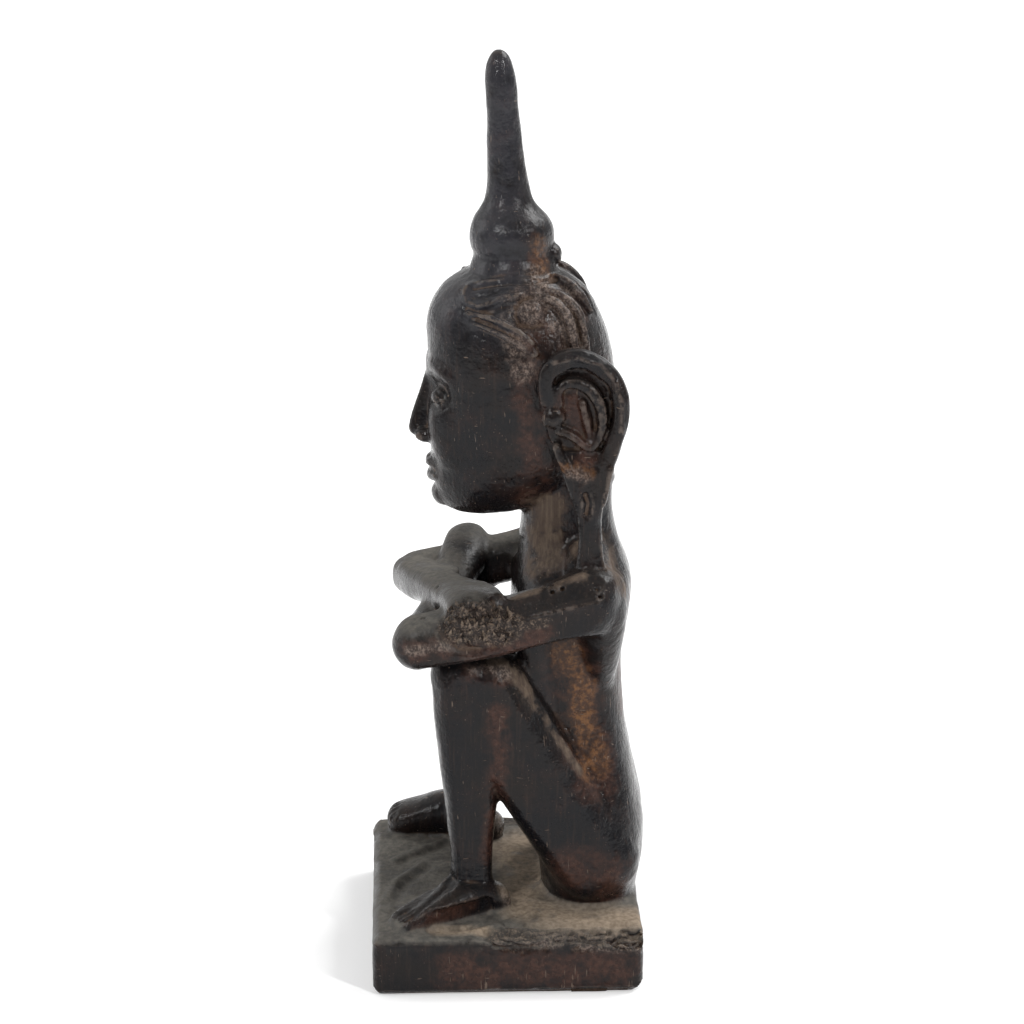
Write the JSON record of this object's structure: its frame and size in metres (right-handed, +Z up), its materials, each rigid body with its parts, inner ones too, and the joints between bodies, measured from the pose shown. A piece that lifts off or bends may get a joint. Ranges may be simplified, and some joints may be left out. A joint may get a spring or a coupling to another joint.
{
  "type": "seated ancestor figurine",
  "caption": "Carved wooden figurine seated on a rectangular base, knees drawn up, forearms crossed over the knees, with long scrolled ears and a tall pointed topknot.",
  "frame": {"origin": "middle of the base's flat underside", "axes": "+Z up, the figure faces -Y, its left side is towards +X"},
  "size_m": [0.0706, 0.0607, 0.2001],
  "materials": {
    "dark_wood": "old dark lacquer, worn through to reddish brown wood, dusty on upward faces"
  },
  "bodies": {
    "root": {"ancestor_figurine": "dark_wood"}
  },
  "joints": []
}
